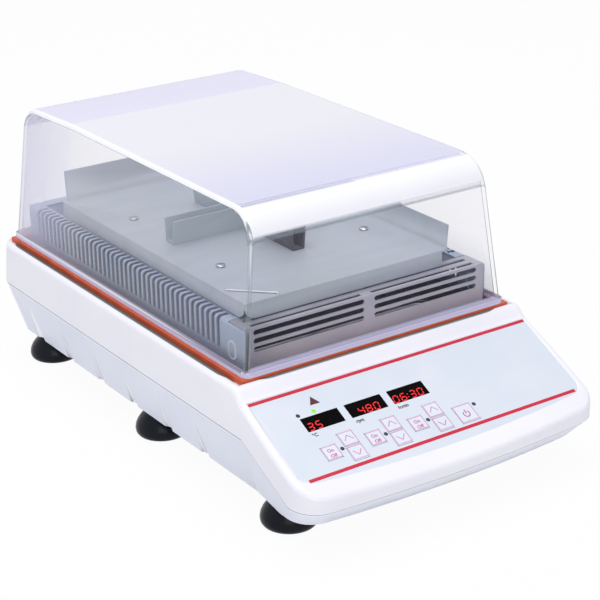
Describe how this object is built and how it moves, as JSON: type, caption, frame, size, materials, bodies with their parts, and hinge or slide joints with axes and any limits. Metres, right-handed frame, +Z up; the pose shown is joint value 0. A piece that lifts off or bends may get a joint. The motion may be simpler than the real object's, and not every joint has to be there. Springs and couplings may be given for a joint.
{
  "type": "incubated benchtop shaker",
  "caption": "Bench orbital shaker with a heated chamber under a hinged clear lid, a divided tray, a sloping key console and suction feet.",
  "frame": {"origin": "on the bench, under the middle of the overall box", "axes": "+X to the right of someone facing the console, +Y towards the hinged back, +Z up"},
  "size_m": [0.262, 0.468, 0.2145],
  "materials": {
    "housing_white": "satin",
    "housing_lower": "satin",
    "overlay_blue": "satin",
    "window_clear": "polished",
    "digits_red": "polished",
    "key_pale": "satin",
    "lamp": "polished",
    "board_green": "satin",
    "lid_clear": "polished",
    "gasket_orange": "matte",
    "foot_black": "satin",
    "sheet_grey": "satin",
    "panel_grey": "satin",
    "tray_metal": "satin",
    "steel": "polished",
    "drive_steel": "machined",
    "belt_black": "matte",
    "motor_black": "satin",
    "fitting_black": "matte"
  },
  "bodies": {
    "base": {"lower_housing": "housing_lower", "upper_housing": "housing_white", "control_overlay": "overlay_blue", "display_windows": "window_clear", "led_displays": "digits_red", "indicator_lamps": "lamp", "control_board": "board_green", "base_chassis": "sheet_grey", "bearing_housing": "drive_steel", "drive_motor": "motor_black", "drive_belt": "belt_black", "chamber_pan": "sheet_grey", "idler_posts": "drive_steel", "front_grille": "panel_grey", "louvre_panel_left": "panel_grey", "louvre_panel_right": "panel_grey", "rear_panel": "panel_grey", "deck_plate": "panel_grey", "heater_element": "steel", "fan_motor": "motor_black", "temperature_probe": "steel", "lid_gasket": "gasket_orange", "hinge_brackets": "steel", "hinge_pins": "steel", "foot_1": "foot_black", "foot_2": "foot_black", "foot_3": "foot_black", "foot_4": "foot_black", "foot_5": "foot_black", "foot_6": "foot_black", "foot_studs": "steel", "power_inlet": "fitting_black", "power_board": "board_green", "housing_screws": "steel"},
    "lid": {"lid": "lid_clear", "hinge_leaves": "steel"},
    "crank": {"crank": "drive_steel"},
    "tray": {"tray_carrier": "drive_steel", "tray": "tray_metal", "corner_rod": "steel", "tray_screws": "steel", "tray_divider": "tray_metal", "divider_screws": "steel"},
    "idler_1": {"idler_crank_1": "drive_steel"},
    "idler_2": {"idler_crank_2": "drive_steel"},
    "idler_3": {"idler_crank_3": "drive_steel"},
    "idler_4": {"idler_crank_4": "drive_steel"},
    "motor_pulley": {"motor_pulley": "drive_steel"},
    "fan": {"fan_impeller": "sheet_grey"},
    "fuse_drawer": {"fuse_drawer": "fitting_black"},
    "key_temperature_on_off": {"key_temperature_on_off": "key_pale"},
    "key_temperature_up": {"key_temperature_up": "key_pale"},
    "key_temperature_down": {"key_temperature_down": "key_pale"},
    "key_speed_on_off": {"key_speed_on_off": "key_pale"},
    "key_speed_up": {"key_speed_up": "key_pale"},
    "key_speed_down": {"key_speed_down": "key_pale"},
    "key_timer_on_off": {"key_timer_on_off": "key_pale"},
    "key_timer_up": {"key_timer_up": "key_pale"},
    "key_timer_down": {"key_timer_down": "key_pale"},
    "key_power": {"key_power": "key_pale"}
  },
  "joints": [
    {"name": "lid_hinge", "type": "hinge", "parent": "base", "child": "lid", "pos_m": [0, 0.228, 0.1032], "axis": [-1, 0, 0], "range_deg": [0, 95]},
    {"name": "crank_spin", "type": "hinge", "parent": "base", "child": "crank", "pos_m": [0, 0.0304, 0.06], "axis": [0, 0, 1], "continuous": true},
    {"name": "tray_orbit", "type": "hinge", "parent": "crank", "child": "tray", "pos_m": [-0.00835, 0.02587, 0.133], "axis": [0, 0, 1], "continuous": true},
    {"name": "idler_1_spin", "type": "hinge", "parent": "base", "child": "idler_1", "pos_m": [-0.07, -0.0546, 0.11], "axis": [0, 0, 1], "continuous": true},
    {"name": "idler_2_spin", "type": "hinge", "parent": "base", "child": "idler_2", "pos_m": [-0.07, 0.1154, 0.11], "axis": [0, 0, 1], "continuous": true},
    {"name": "idler_3_spin", "type": "hinge", "parent": "base", "child": "idler_3", "pos_m": [0.07, -0.0546, 0.11], "axis": [0, 0, 1], "continuous": true},
    {"name": "idler_4_spin", "type": "hinge", "parent": "base", "child": "idler_4", "pos_m": [0.07, 0.1154, 0.11], "axis": [0, 0, 1], "continuous": true},
    {"name": "motor_spin", "type": "hinge", "parent": "base", "child": "motor_pulley", "pos_m": [0.072, -0.04, 0.06], "axis": [0, 0, 1], "continuous": true},
    {"name": "fan_spin", "type": "hinge", "parent": "base", "child": "fan", "pos_m": [0, 0.158, 0.09], "axis": [0, 0, 1], "continuous": true},
    {"name": "fuse_drawer_slide", "type": "slide", "parent": "base", "child": "fuse_drawer", "axis": [0, 1, 0], "range_m": [0, 0.012]},
    {"name": "key_temperature_on_off_press", "type": "slide", "parent": "base", "child": "key_temperature_on_off", "axis": [0, 0.4462, -0.8949], "range_m": [0, 0.0004], "stiffness_N_per_m": 600},
    {"name": "key_temperature_up_press", "type": "slide", "parent": "base", "child": "key_temperature_up", "axis": [0, 0.4462, -0.8949], "range_m": [0, 0.0004], "stiffness_N_per_m": 600},
    {"name": "key_temperature_down_press", "type": "slide", "parent": "base", "child": "key_temperature_down", "axis": [0, 0.4462, -0.8949], "range_m": [0, 0.0004], "stiffness_N_per_m": 600},
    {"name": "key_speed_on_off_press", "type": "slide", "parent": "base", "child": "key_speed_on_off", "axis": [0, 0.4462, -0.8949], "range_m": [0, 0.0004], "stiffness_N_per_m": 600},
    {"name": "key_speed_up_press", "type": "slide", "parent": "base", "child": "key_speed_up", "axis": [0, 0.4462, -0.8949], "range_m": [0, 0.0004], "stiffness_N_per_m": 600},
    {"name": "key_speed_down_press", "type": "slide", "parent": "base", "child": "key_speed_down", "axis": [0, 0.4462, -0.8949], "range_m": [0, 0.0004], "stiffness_N_per_m": 600},
    {"name": "key_timer_on_off_press", "type": "slide", "parent": "base", "child": "key_timer_on_off", "axis": [0, 0.4462, -0.8949], "range_m": [0, 0.0004], "stiffness_N_per_m": 600},
    {"name": "key_timer_up_press", "type": "slide", "parent": "base", "child": "key_timer_up", "axis": [0, 0.4462, -0.8949], "range_m": [0, 0.0004], "stiffness_N_per_m": 600},
    {"name": "key_timer_down_press", "type": "slide", "parent": "base", "child": "key_timer_down", "axis": [0, 0.4462, -0.8949], "range_m": [0, 0.0004], "stiffness_N_per_m": 600},
    {"name": "key_power_press", "type": "slide", "parent": "base", "child": "key_power", "axis": [0, 0.4462, -0.8949], "range_m": [0, 0.0004], "stiffness_N_per_m": 600}
  ],
  "couplings": [
    {"joint": "tray_orbit", "follows": "crank_spin", "ratio": -1},
    {"joint": "idler_1_spin", "follows": "crank_spin", "ratio": 1},
    {"joint": "idler_2_spin", "follows": "crank_spin", "ratio": 1},
    {"joint": "idler_3_spin", "follows": "crank_spin", "ratio": 1},
    {"joint": "idler_4_spin", "follows": "crank_spin", "ratio": 1},
    {"joint": "motor_spin", "follows": "crank_spin", "ratio": 4}
  ]
}
